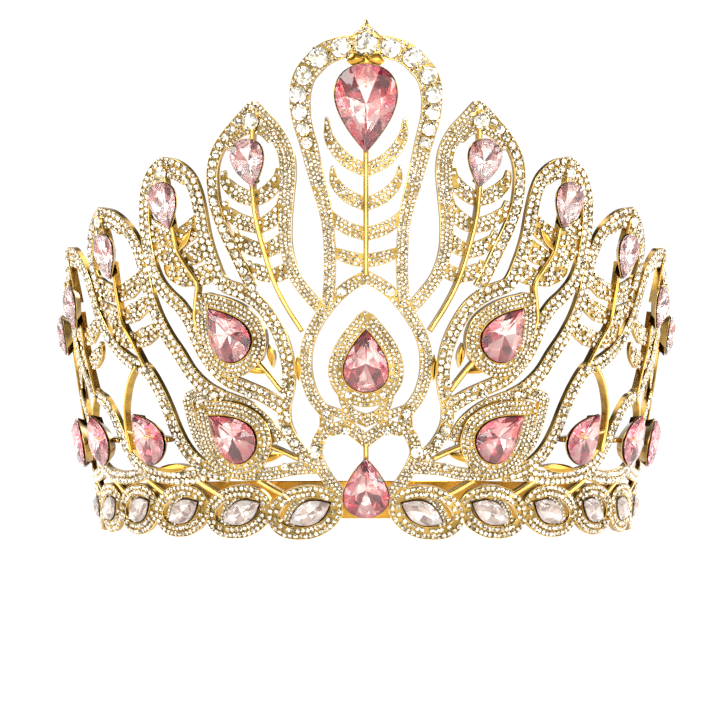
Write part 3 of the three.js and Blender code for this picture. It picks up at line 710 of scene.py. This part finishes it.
def tinted(name, shader, first, second, scale, tilt):
    """A cut surface: small facets between two tints, each turned a little its own way. The tints
    are partly the glass's own colour and partly painted light and shade, paler and deeper from
    facet to facet.
    """
    finish_and_painted_light = bpy.data.materials.new(name)
    graph = Graph(finish_and_painted_light)
    cell, facet = graph.facets(scale, tilt)
    share = graph.ramp(graph.add("ShaderNodeSeparateColor", None, {0: cell}),
                       [(0.25, (0, 0, 0)), (0.75, (1, 1, 1))])
    graph.surface(Base_Color=graph.mix(share, first, second), Normal=facet, **shader)
    return finish_and_painted_light


GLASS = {"IOR": 1.56, "Transmission_Weight": 0.95, "Roughness": 0.01}
FOIL = {"Metallic": 0.6, "Roughness": 0.1}
SATIN_FOIL = {"Metallic": 0.45, "Roughness": 0.14}
# The foils below are lit, half-lit and shaded copies of one foil: painted light and painted shade.
pink_crystal = [
    tinted("pink_table", GLASS, (1.0, 0.60, 0.60), (1.0, 0.78, 0.75), 320, 0.03),
    tinted("pink_facets", GLASS, (1.0, 0.24, 0.38), (1.0, 0.62, 0.68), 850, 0.22),
    tinted("foil_painted_lit", FOIL, (1.0, 0.76, 0.72), (1.0, 0.98, 0.92), 420, 0.14),
    tinted("foil_painted_half_lit", FOIL, (0.90, 0.26, 0.24), (1.0, 0.62, 0.56), 520, 0.16),
    tinted("foil_painted_shade", FOIL, (0.10, 0.008, 0.012), (0.42, 0.08, 0.09), 520, 0.14),
]
blush_crystal = [
    tinted("blush_table", GLASS, (1.0, 0.84, 0.82), (1.0, 0.93, 0.91), 400, 0.03),
    tinted("blush_facets", GLASS, (1.0, 0.58, 0.62), (1.0, 0.84, 0.84), 1000, 0.22),
    tinted("blush_foil_painted_lit", FOIL, (1.0, 0.90, 0.86), (1.0, 0.98, 0.95), 600, 0.16),
    tinted("blush_foil_painted_half_lit", FOIL, (0.90, 0.52, 0.48), (1.0, 0.76, 0.72), 700, 0.16),
    tinted("blush_foil_painted_shade", FOIL, (0.12, 0.035, 0.03), (0.46, 0.22, 0.18), 700, 0.16),
]
pale_crystal = [
    tinted("pale_table", GLASS, (1.0, 0.96, 0.94), (1.0, 0.99, 0.98), 400, 0.03),
    tinted("pale_facets", GLASS, (1.0, 0.84, 0.84), (1.0, 0.96, 0.95), 1000, 0.2),
    tinted("pale_foil_painted_lit", SATIN_FOIL, (1.0, 0.95, 0.90), (1.0, 0.99, 0.96), 700, 0.2),
    tinted("pale_foil_painted_half_lit", SATIN_FOIL, (1.0, 0.82, 0.78), (1.0, 0.92, 0.88), 700, 0.2),
    tinted("pale_foil_painted_shade", SATIN_FOIL, (0.36, 0.25, 0.20), (0.82, 0.68, 0.60), 700, 0.2),
]

for name, size, place, lean, side in large_stones:
    stone = cut_stone(size)
    bmesh.ops.transform(stone, matrix=seat(size, place, lean, side), verts=stone.verts[:])
    bmesh.ops.recalc_face_normals(stone, faces=stone.faces[:])
    pale = size is MARQUISE
    tints = pale_crystal if pale else blush_crystal if size is FEATHER_EYE else pink_crystal
    add_piece(name + "_cut", stone, tints, [name])


# The cups: each large stone sits in a collet of gilt sheet with a rolled lip, soldered into the
# wall. The ovals and the middle pear have a halo of ribbon round the collet, and a lower collar
# of ribbon fills each ring of the garland round its marquise.
CUP_LIP = 0.26
CUP_TAPER = 1.8
HALO = 3.4
HALO_PROUD = 0.8
COLLAR = 1.9
COLLAR_LEVEL = -0.36
COLLAR_REACH = 0.8
CUP_BELOW_GIRDLE = 0.3
CUP_FLOOR = 0.3
# Steps over a cup's front: its rolled lip, then the way down into it, whose depth is added. The lip
# takes the dark and shaded copies of the gold and the way down the shadow copy: painted shade and
# painted shadow that draw a dark line round each stone.
CUP_PROFILE = [(0.08, 0.12, DARK), (0.06, 0.05, SHADED), (0.04, -0.1, SHADOW)]
CUP_RISE = 0.25
CUP_WAY_IN = 1.5
CLEAR_OF_LIP = 0.1

cup_parts, halo_parts, halo_tracks, collar_tracks, keep_clear = [], [], [], [], []
for name, size, place, lean, side in large_stones:
    count = 28 if size is MARQUISE else 44
    drop = size.pavilion - 0.1
    front = size.proud - CUP_BELOW_GIRDLE
    back = front - drop - CUP_FLOOR
    cup = bmesh.new()
    edge = drawn(outline(size, count, STONE_GAP + CUP_LIP), place, lean, side)
    foot = drawn(outline(size, count, STONE_GAP + CUP_LIP - CUP_TAPER), place, lean, side)
    base = [cup.verts.new((*p, back)) for p in edge]
    cup.faces.new(base)
    faces = thicken(cup, back, front - CUP_RISE)
    for vert, spot in zip(base, foot):
        vert.co.xy = spot
    shade_walls(cup)
    shape_front(cup, faces, [*CUP_PROFILE, (CUP_WAY_IN, -drop, SHADOW)])
    cup_parts.append(cup)
    clear = outline(size, 24, STONE_GAP + CUP_LIP + CLEAR_OF_LIP)
    keep_clear.append(drawn(clear, place, lean, side))
    if size is HALO_PEAR:
        middle = drawn(outline(size, 32, STONE_GAP + CUP_LIP + HALO / 2), place, lean, side)
        steps = track(middle, RIBBON_STEP, True)
        halo_tracks.append(steps)
        halo_parts.append(cast_band(steps, [HALO], LIPPED, front=HALO_PROUD, closed=True))
    if size is MARQUISE:
        middle = drawn(outline(size, 32, STONE_GAP + CUP_LIP + COLLAR_REACH), place, lean, side)
        steps = track(middle, RIBBON_STEP, True)
        collar_tracks.append(steps)
        halo_parts.append(cast_band(steps, [COLLAR], LIPPED, front=COLLAR_LEVEL, closed=True))
add_piece("stone_cups", bend_to_wall(join(cup_parts)), golds)
add_piece("halos", bend_to_wall(join(halo_parts)), golds)


# The leaves and points: small plain leaves of polished sheet with a raised midrib beside the
# stems, a three-leaved clasp over the middle eye, and a pointed cap on each feather's tip.
# Rows are (place of one end, place of the other end, width in millimetres).
LEAVES = [
    ((16.4, 38.9), (16, 34), 1.8), ((22.4, 34.2), (16.4, 33.0), 1.6),
    ((11.7, 36.4), (11.5, 31.2), 1.9), ((20.3, 15.6), (14.6, 17.2), 2.1),
    ((43.5, 13.9), (34.0, 14.5), 2.2), ((32.3, 57.6), (29.3, 61.8), 1.8),
]
CLASP = [((0, 93.8), (0, 90.6), 3.0), ((0.3, 92.9), (-2.8, 92.1), 2.8),
         ((-0.3, 92.9), (2.8, 92.1), 2.8)]
LEAF_PROUD = 0.35
CLASP_PROUD = 1.1
LEAF_POINTS = 8
# A point's outline, in shares of its width and rise.
POINT_EDGE = [(-0.5, -1), (0.5, -1), (0.3, -0.62), (0.1, -0.3), (0.03, 0), (-0.03, 0),
              (-0.1, -0.3), (-0.3, -0.62)]
TOP_POINT = (8.0, 4.5)
SIDE_POINT = (5.0, 4.0)
SIDE_POINT_LIFT = 1.6
TOP_POINT_LEVEL, SIDE_POINT_LEVEL = 0.1, -0.3


def leaf(start, end, width, front, middle=0.5):
    """A pointed leaf from one place to another, its sides curved and its midrib raised."""
    run = end - start
    points = []
    for way in (1, -1):
        for i in range(LEAF_POINTS):
            share = i / LEAF_POINTS if way > 0 else 1 - i / LEAF_POINTS
            out = math.sin(math.pi * share ** (math.log(0.5) / math.log(middle))) * width / 2
            points.append(aside(start + run * share, run.normalized(), -way * out))
    bm = bmesh.new()
    bm.faces.new([bm.verts.new((*p, -THICKNESS)) for p in points])
    faces = thicken(bm, -THICKNESS, front)
    shade_walls(bm)
    shape_front(bm, faces, [(0.12, 0.08, BRIGHT), (width * 0.22, 0.26, AMBER)])
    return bm


leaf_parts = [leaf(flat(start, side), flat(end, side), width, LEAF_PROUD)
              for start, end, width in LEAVES for side in (1, -1)]
leaf_parts += [leaf(flat(start), flat(end), width, CLASP_PROUD, 0.6)
               for start, end, width in CLASP]
caps = [(Vector((0, CROWN_HEIGHT)), TOP_POINT, TOP_POINT_LEVEL)]
caps += [(flat(tip, side) + Vector((0, SIDE_POINT_LIFT)), SIDE_POINT, SIDE_POINT_LEVEL)
         for tip in (FIRST_TIP, SECOND_TIP, THIRD_TIP, FOURTH_TIP, FIFTH_TIP) for side in (1, -1)]
for top, (width, rise), front in caps:
    cap = bmesh.new()
    wide = spread(top.y)
    cap.faces.new([cap.verts.new((top.x + x * width / wide, top.y + y * rise / SLANT, -THICKNESS))
                   for x, y in POINT_EDGE])
    faces = thicken(cap, -THICKNESS, front)
    shape_front(cap, faces, [(0.1, 0.12, BRIGHT), (0.25, 0.14, BRIGHT)])
    leaf_parts.append(cap)
add_piece("leaves_and_points", bend_to_wall(join(leaf_parts)), golds)


# The small stones: clear foiled rhinestones, grain-set in the channels of all the ribbons, in as
# many close-packed rows as each one takes, with filler stones in the gaps that are left. Larger
# ones sit on the top of the middle feather, on the feathers' tips and where ribbons meet.
FILLER, COLLAR_STONE, FINE, SMALL, MEDIUM, BOLD = 0.75, 0.9, 1.0, 1.25, 1.65, 2.2
SETTINGS = {"fine": FINE, "medium": MEDIUM, "bold": BOLD}
# Rows are (azimuth, height in percent, diameter in millimetres).
SINGLE_STONES = [
    (0, 95.4, 5.4), (3.6, 94.7, 4.5), (6.8, 93, 4.7), (9.15, 89.7, 4.2), (10.05, 86.1, 4.0),
    (9.9, 82.8, 3.7), (9.4, 79.6, 3.1), (8.9, 77, 2.7), (0, 98.3, 1.5), (0.8, 97.9, 1.2),
    (17.3, 84.3, 1.5), (34.2, 75.2, 1.3), (51.4, 67.4, 1.3), (67.8, 61.2, 1.3), (17.6, 81.6, 3.9),
    (34.2, 73.2, 3.1), (51.4, 65.5, 2.9), (67.8, 59.3, 2.7), (84, 53.9, 2.6), (1.45, 97.2, 1.9),
    (14.2, 30.9, 2.0), (14, 21.7, 2.4), (12.6, 19.3, 2.1), (9, 17.5, 2.9), (14.5, 14.5, 2.1),
    (3.5, 21.6, 2.1), (3, 28.6, 1.9), (3.9, 48.6, 2.3), (9.4, 39.8, 1.9), (20.8, 28.9, 2.1),
    (7, 25, 2.2), (38.6, 26, 2.2), (53.6, 41.6, 2.2), (65.6, 31.6, 2.0), (39, 45.6, 2.0),
    (27.4, 28.8, 2.0), (43.2, 34.4, 2.0),
]
SINGLE_LEVEL = 0.45
CLOSEST = 0.46  # of two stones' sizes added, from middle to middle
PLOT = 3  # side of the squares that the places taken are kept by
ROW_PACKING = 0.87  # between staggered rows, in stones
CHANNEL_EDGES = 0.15
SET_ASIDE = 0.04  # the most that a stone is off its row
# The sizes at which the pieces of small stones part.
FINE_BELOW, SMALL_BELOW, ROUND_FROM = 1.1, 1.4, 2.3

random.seed(7)
taken = {}
settings_made = []  # (spot on the flat drawing, level in front of the wall, diameter)


def inside(point, polygon):
    """Whether the sides of a polygon are crossed an odd number of times on the way out."""
    odd = False
    for p, q in zip(polygon, polygon[1:] + polygon[:1]):
        if (p.y > point.y) != (q.y > point.y):
            if point.x < p.x + (point.y - p.y) / (q.y - p.y) * (q.x - p.x):
                odd = not odd
    return odd


clear_boxes = [(min(p.x for p in shape), max(p.x for p in shape), min(p.y for p in shape),
                max(p.y for p in shape), shape) for shape in keep_clear]


def set_stone(spot, level, size):
    """Sets a small stone unless another stone or a cup already holds its place."""
    for low_x, high_x, low_y, high_y, shape in clear_boxes:
        if low_x < spot.x < high_x and low_y < spot.y < high_y and inside(spot, shape):
            return
    plot = (int(spot.x // PLOT), int(spot.y // PLOT))
    wide = spread(spot.y)
    for near_x in (-1, 0, 1):
        for near_y in (-1, 0, 1):
            for other, other_size in taken.get((plot[0] + near_x, plot[1] + near_y), ()):
                gap = math.hypot((other.x - spot.x) * wide, other.y - spot.y)
                if gap < (size + other_size) * CLOSEST:
                    return
    taken.setdefault(plot, []).append((spot, size))
    settings_made.append((spot, level, size))


def set_rows(points, widths, size, level, closed=False):
    """Close-packed rows of stones along a route, as many side by side as its channel takes."""
    for i, (point, direction, share) in enumerate(track(points, size / 2, closed)):
        channel = width_along(widths, share) - CHANNEL_EDGES
        rows = max(1, int(channel / size / ROW_PACKING + 0.1))
        pitch = channel / rows
        for row in range(rows):
            if (i + row) % 2 == 0:
                across = (row - (rows - 1) / 2) * pitch + random.uniform(-SET_ASIDE, SET_ASIDE)
                set_stone(aside(point, direction, across), level, size * random.uniform(0.92, 1.02))


for azimuth, percent, size in SINGLE_STONES:
    for side in (1, -1) if azimuth else (1,):
        set_stone(flat((azimuth, percent), side), SINGLE_LEVEL, size)
for steps in halo_tracks:
    set_rows([p for p, _, _ in steps], [HALO], FINE, HALO_PROUD, True)
for index in range(RING_COUNT):
    for side in (1, -1):
        set_rows(ring_points(index, side), [RIBBON], SMALL, RING_PROUD, True)
for steps in collar_tracks:
    set_rows([p for p, _, _ in steps], [COLLAR], COLLAR_STONE, COLLAR_LEVEL, True)
for setting, widths, places in RIBBONS:
    for side in (1, -1):
        set_rows([flat(place, side) for place in places], widths, SETTINGS[setting], 0.0)
for setting, widths, places in RIBBONS:
    for side in (1, -1):
        set_rows([flat(place, side) for place in places], widths, FILLER, 0.0)
for steps, widths in barbs:
    set_rows([p for p, _, _ in steps], widths, FINE if widths is CENTRE_BARB else SMALL, BARB_LEVEL)


def round_stone(segments, tiers):
    """A round stone of diameter 1: a tapering crown of one or two tiers of facets."""
    bm = bmesh.new()
    bmesh.ops.create_circle(bm, cap_ends=True, segments=segments, radius=0.5)
    face = bm.faces[:][0]
    for inwards, rise in tiers:
        bmesh.ops.inset_region(bm, faces=[face], thickness=inwards, use_even_offset=True,
                               use_boundary=True)
        bmesh.ops.translate(bm, verts=list(face.verts), vec=(0, 0, rise))
    under = bmesh.ops.extrude_edge_only(bm, edges=[e for e in bm.edges if e.is_boundary])["geom"]
    bmesh.ops.translate(bm, verts=verts_of(under), vec=(0, 0, -0.3))
    bmesh.ops.contextual_create(bm, geom=[g for g in under if isinstance(g, bmesh.types.BMEdge)])
    bmesh.ops.recalc_face_normals(bm, faces=bm.faces[:])
    return bm


def scatter(name, pattern, spots, finishes_and_painted_light):
    """Joins a copy of a pattern under every matrix into one piece."""
    shape = [v.co.copy() for v in pattern.verts]
    pattern.verts.index_update()
    loops = [[v.index for v in f.verts] for f in pattern.faces]
    marks = [f.material_index for f in pattern.faces]
    verts, faces = [], []
    for matrix in spots:
        base = len(verts)
        verts += [matrix @ co for co in shape]
        faces += [[base + i for i in loop] for loop in loops]
    mesh = bpy.data.meshes.new(name)
    mesh.from_pydata(verts, [], faces)
    mesh.polygons.foreach_set("material_index", marks * len(spots))
    whole = bmesh.new()
    whole.from_mesh(mesh)
    bpy.data.meshes.remove(mesh)
    add_piece(name, whole, finishes_and_painted_light)


def wall_frame(spot, level, size, tilt):
    """Where a small thing of a size stands on the wall, with a random turn and a slight tilt."""
    here = on_wall(spot.x, spot.y, level)
    out = (on_wall(spot.x, spot.y, level + 1) - here).normalized()
    across = (on_wall(spot.x + 1, spot.y, level) - here).normalized()
    axes = Matrix((across, out.cross(across), out)).transposed().to_4x4()
    lean = Matrix.Rotation(random.uniform(-tilt, tilt), 4, "X")
    lean = lean @ Matrix.Rotation(random.uniform(-tilt, tilt), 4, "Y")
    spin = Matrix.Rotation(random.uniform(0, math.tau), 4, "Z")
    return Matrix.Translation(here) @ axes @ lean @ spin @ Matrix.Scale(size / 1000, 4)


def rhinestone(name, scale, painted_facet_light):
    """Clear glass over foil: small patches, each turned its own way, stand for facets. Each patch's
    colour is painted light and shade, from a painted dark reflection to a painted white glint, with
    a little painted fire of random colour.
    """
    finish_and_painted_light = bpy.data.materials.new(name)
    graph = Graph(finish_and_painted_light)
    cell, facet = graph.facets(scale, 0.45)
    bright = graph.add("ShaderNodeSeparateColor", None, {0: cell})
    painted_fire = graph.mix(0.06, graph.ramp(bright, painted_facet_light), cell)
    graph.surface(Base_Color=painted_fire, Metallic=0.7, Roughness=0.12, Normal=facet, Coat_Weight=0.2,
                  Coat_Roughness=0.02)
    return finish_and_painted_light


def scatter_stones(name, pattern, stones, sizes, lift, tilt, finishes_and_painted_light):
    """Sets a copy of a cut at each stone within a range of sizes."""
    spots = [wall_frame(spot, level + lift, size, tilt)
             for spot, level, size in stones if sizes[0] <= size < sizes[1]]
    scatter(name, pattern, spots, finishes_and_painted_light)


# Each list runs from painted dark facet reflections to painted white glints.
clear_crystal = rhinestone("clear_crystal", 3000.0, [
    (0.0, (0.05, 0.03, 0.015)), (0.2, (0.34, 0.26, 0.14)), (0.42, (0.62, 0.55, 0.42)),
    (0.75, (0.76, 0.72, 0.62)), (1.0, (0.88, 0.86, 0.81))])
brilliant_crystal = rhinestone("brilliant_crystal", 2100.0, [
    (0.0, (0.05, 0.03, 0.015)), (0.2, (0.40, 0.31, 0.17)), (0.4, (0.72, 0.65, 0.50)),
    (0.76, (0.85, 0.82, 0.73)), (1.0, (0.94, 0.93, 0.90))])
round_crystal = rhinestone("round_crystal", 1500.0, [
    (0.0, (0.26, 0.19, 0.09)), (0.2, (0.58, 0.50, 0.34)), (0.4, (0.86, 0.81, 0.68)),
    (0.8, (0.95, 0.93, 0.87)), (1.0, (1.0, 0.99, 0.97))])
fine_cut = round_stone(6, [(0.09, 0.1)])
small_cut = round_stone(8, [(0.06, 0.08), (0.08, 0.05)])
round_cut = cut_stone(Stone(1.0, 1.0, 0.22, 0.3, 0.0))
right_half = [row for row in settings_made if row[0].x > 0]
left_half = [row for row in settings_made if row[0].x <= 0]
scatter_stones("fine_stones_right", fine_cut, right_half, (0, FINE_BELOW), 0, 0.14,
               [clear_crystal])
scatter_stones("fine_stones_left", fine_cut, left_half, (0, FINE_BELOW), 0, 0.14,
               [clear_crystal])
scatter_stones("small_stones", small_cut, settings_made, (FINE_BELOW, SMALL_BELOW), 0.04, 0.10,
               [brilliant_crystal])
scatter_stones("medium_stones", small_cut, settings_made, (SMALL_BELOW, ROUND_FROM), 0.04, 0.10,
               [brilliant_crystal])
scatter_stones("round_stones", round_cut, settings_made, (ROUND_FROM, math.inf), 0.05, 0.08,
               [round_crystal] * 5)
for cut in (fine_cut, small_cut, round_cut):
    cut.free()


# The grains: beads of the ribbon's own metal, raised with a graver between the stones and
# pushed over their edges to hold them.
FINE_GRAIN, GRAIN, LARGE_GRAIN = 0.26, 0.38, 0.7
LARGE_GRAINS_FROM = 2.6
# Where the grains stand round a stone, in radians, and how far from its middle, in its sizes.
TWO_GRAINS, FOUR_GRAINS = (0.8, 3.9), (0.5, 2.1, 3.6, 5.2)
GRAIN_REACH = 0.54

grain = bmesh.new()
bmesh.ops.create_cone(grain, cap_ends=True, segments=4, radius1=0.5, radius2=0.22, depth=0.8)
spots = []
for spot, level, size in settings_made:
    fine = size < FINE_BELOW
    width = FINE_GRAIN if fine else GRAIN if size < LARGE_GRAINS_FROM else LARGE_GRAIN
    for turn in TWO_GRAINS if fine else FOUR_GRAINS:
        reach = size * GRAIN_REACH
        bead = Vector((spot.x + math.cos(turn) * reach / spread(spot.y),
                       spot.y + math.sin(turn) * reach))
        spots.append(wall_frame(bead, level + 0.02, width, 0.2))
half = len(spots) // 2
scatter("grains_a", grain, spots[:half], [bright_gilt])
scatter("grains_b", grain, spots[half:], [bright_gilt])
grain.free()


# The studio: a wide pale floor that meets a white background, soft lights round the crown, and
# greyer patches in front and above, so that the gold and the facets have something to reflect.
LIGHTS = [  # (name, place, what it is aimed at, width and height, watts)
    ("key", (-0.55, -0.75, 0.75), (0, 0, 0.05), (0.4, 0.4), 4),
    ("fill", (0.8, -0.55, 0.45), (0, 0, 0.05), (0.2, 0.5), 3),
    ("left", (-1.0, -0.15, 0.35), (0, 0, 0.05), (0.4, 0.4), 3.5),
    ("right", (1.0, -0.15, 0.35), (0, 0, 0.05), (0.4, 0.4), 3.5),
    ("low", (0.1, -1.1, 0.12), (0, 0, 0.02), (0.5, 0.2), 2.8),
    ("top", (0.0, 0.1, 1.1), (0, 0, 0), (0.8, 0.8), 8),
    ("rim", (0.5, 0.9, 0.6), (0, 0, 0.05), (0.5, 0.4), 5),
]
LENS = 84.2
CAMERA_AWAY, CAMERA_HEIGHT = 0.4761, 0.0198
CAMERA_UP, CAMERA_TURN = 3.31, 0.204
scene = bpy.context.scene
floor = bmesh.new()
bmesh.ops.create_grid(floor, x_segments=1, y_segments=1, size=30)
floor_mesh = bpy.data.meshes.new("floor")
floor.to_mesh(floor_mesh)
floor.free()
floor_piece = bpy.data.objects.new("floor", floor_mesh)
scene.collection.objects.link(floor_piece)
paper = bpy.data.materials.new("white_floor")
graph = Graph(paper)
fibre = graph.noise(30, 2.0)
shade = graph.mix(fibre, (0.88, 0.88, 0.88), (0.92, 0.92, 0.92))
graph.surface(Base_Color=shade, Roughness=0.8, Emission_Color=shade, Emission_Strength=0.72)
floor_mesh.materials.append(paper)

world = bpy.data.worlds.new("studio")
scene.world = world
graph = Graph(world)
direction = graph.add("ShaderNodeTexCoord", output=0)
back_way = graph.add("ShaderNodeSeparateXYZ", None, {0: direction}, 1)
height = graph.add("ShaderNodeSeparateXYZ", None, {0: direction}, 2)
behind = back_way.math("MULTIPLY_ADD", back_way, 3.0, 1.66, clamp=True)
high = graph.ramp(height, [(0.0, (1, 1, 1)), (0.4, (1, 1, 1)), (0.75, (0.35, 0.35, 0.35)),
                           (1.0, (0.5, 0.5, 0.5))])
flags = graph.add("ShaderNodeTexNoise", None, {"Vector": direction, "Scale": 2.6, "Detail": 0.0})
front = graph.ramp(flags, [(0.40, (0.14, 0.14, 0.14)), (0.52, (0.48, 0.47, 0.46)),
                           (0.62, (0.80, 0.80, 0.80))])
above = graph.ramp(height, [(0.3, (0, 0, 0)), (0.5, (0.8, 0.8, 0.8))])
tone = graph.mix(behind - above, front, (1.0, 1.0, 1.0))
glow = graph.add("ShaderNodeVectorMath", {"operation": "MULTIPLY"}, {0: tone, 1: high})
back = graph.add("ShaderNodeBackground", None, {"Color": glow, "Strength": 1.05})
graph.add("ShaderNodeOutputWorld", None, {"Surface": back})

for name, place, aim, (width, height), power in LIGHTS:
    lamp = bpy.data.lights.new(name, "AREA")
    lamp.shape = "RECTANGLE"
    lamp.size, lamp.size_y = width, height
    lamp.energy = power
    holder = bpy.data.objects.new(name, lamp)
    holder.location = place
    holder.rotation_mode = "QUATERNION"
    holder.rotation_quaternion = (Vector(aim) - Vector(place)).to_track_quat("-Z", "Y")
    scene.collection.objects.link(holder)

camera = bpy.data.cameras.new("camera")
camera.lens = LENS
camera.sensor_width = 36
camera.clip_start = 0.01
camera_piece = bpy.data.objects.new("camera", camera)
camera_piece.location = (0, AXIS_Y / 1000 - CAMERA_AWAY, CAMERA_HEIGHT)
camera_piece.rotation_euler = (math.radians(90 + CAMERA_UP), 0, math.radians(CAMERA_TURN))
scene.collection.objects.link(camera_piece)
scene.camera = camera_piece
scene.view_settings.view_transform = "Standard"
